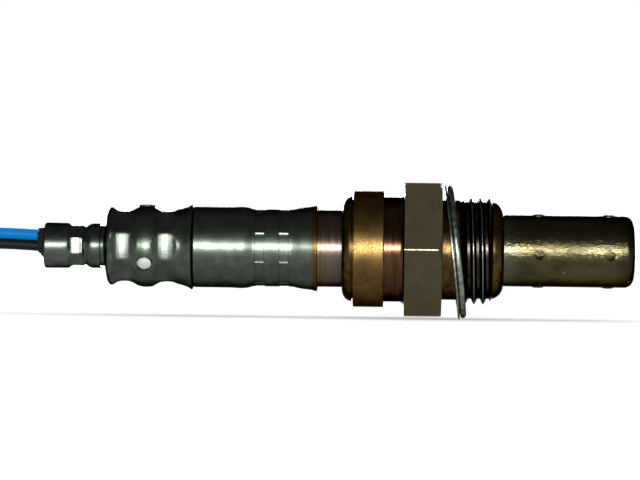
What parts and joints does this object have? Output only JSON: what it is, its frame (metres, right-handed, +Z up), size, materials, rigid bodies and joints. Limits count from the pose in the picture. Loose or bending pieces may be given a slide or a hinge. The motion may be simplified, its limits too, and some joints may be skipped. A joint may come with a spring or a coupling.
{
  "type": "oxygen sensor",
  "caption": "Heated exhaust oxygen sensor: threaded hexagon body with loose gasket, pierced gas cover, stepped crimped covers, and a folded lead with its plug.",
  "frame": {"origin": "on the sensor's axis, in the plane of the hexagon's front face, where the gasket seats", "axes": "+X along the sensor's axis from its lead to its gas end; +Z up, square to a flat of the hexagon; the surface it lies on is at Z = -11.5 mm"},
  "size_m": [0.2592, 0.0424, 0.0225],
  "materials": {
    "housing_steel": "plated and heat-tinted, satin",
    "cover_steel": "drawn stainless, bright",
    "neck_steel": "drawn stainless, straw and brown heat tint",
    "tip_steel": "heat-stained olive and brown",
    "gasket_steel": "zinc-plated, satin",
    "zirconia": "fired ceramic with platinum skin",
    "alumina": "fired ceramic",
    "talc": "pressed powder",
    "ptfe": "sintered, porous",
    "contact_nickel": "nickel strip",
    "rubber_black": "smooth",
    "wire_blue_skin": "silicone, semi-gloss",
    "wire_black_skin": "silicone, semi-gloss",
    "wire_white_skin": "silicone, semi-gloss",
    "sleeving_black": "coated woven glass sleeve",
    "connector_grey": "moulded, fine texture",
    "seal_orange": "silicone",
    "terminal_tin": "tin-plated"
  },
  "bodies": {
    "root": {"hex_housing": "housing_steel", "seat_gasket": "gasket_steel", "outer_tip_cover": "tip_steel", "inner_tip_cover": "tip_steel", "neck_cover": "neck_steel", "main_sleeve": "cover_steel", "vent_cover": "cover_steel", "vent_filter": "ptfe", "bush_ferrule": "cover_steel", "wire_bush": "rubber_black", "wire_blue": "wire_blue_skin", "wire_black_1": "wire_black_skin", "wire_black_2": "wire_black_skin", "wire_white": "wire_white_skin", "zirconia_cup": "zirconia", "heater_rod": "alumina", "cup_seat_washer": "gasket_steel", "talc_seal": "talc", "packing_insulator": "alumina", "caulking_ring": "contact_nickel", "lead_insulator": "alumina", "disc_spring": "cover_steel", "signal_contact": "contact_nickel", "ground_contact": "contact_nickel", "heater_terminal_1": "contact_nickel", "heater_terminal_2": "contact_nickel", "sleeve_end_band": "rubber_black", "lead_run": "sleeving_black", "lead_hank": "sleeving_black", "lead_tail": "sleeving_black", "hank_tie": "rubber_black", "connector_boot": "rubber_black", "connector_housing": "connector_grey", "connector_seal": "seal_orange", "connector_lock": "connector_grey", "connector_terminals": "terminal_tin"}
  },
  "joints": []
}
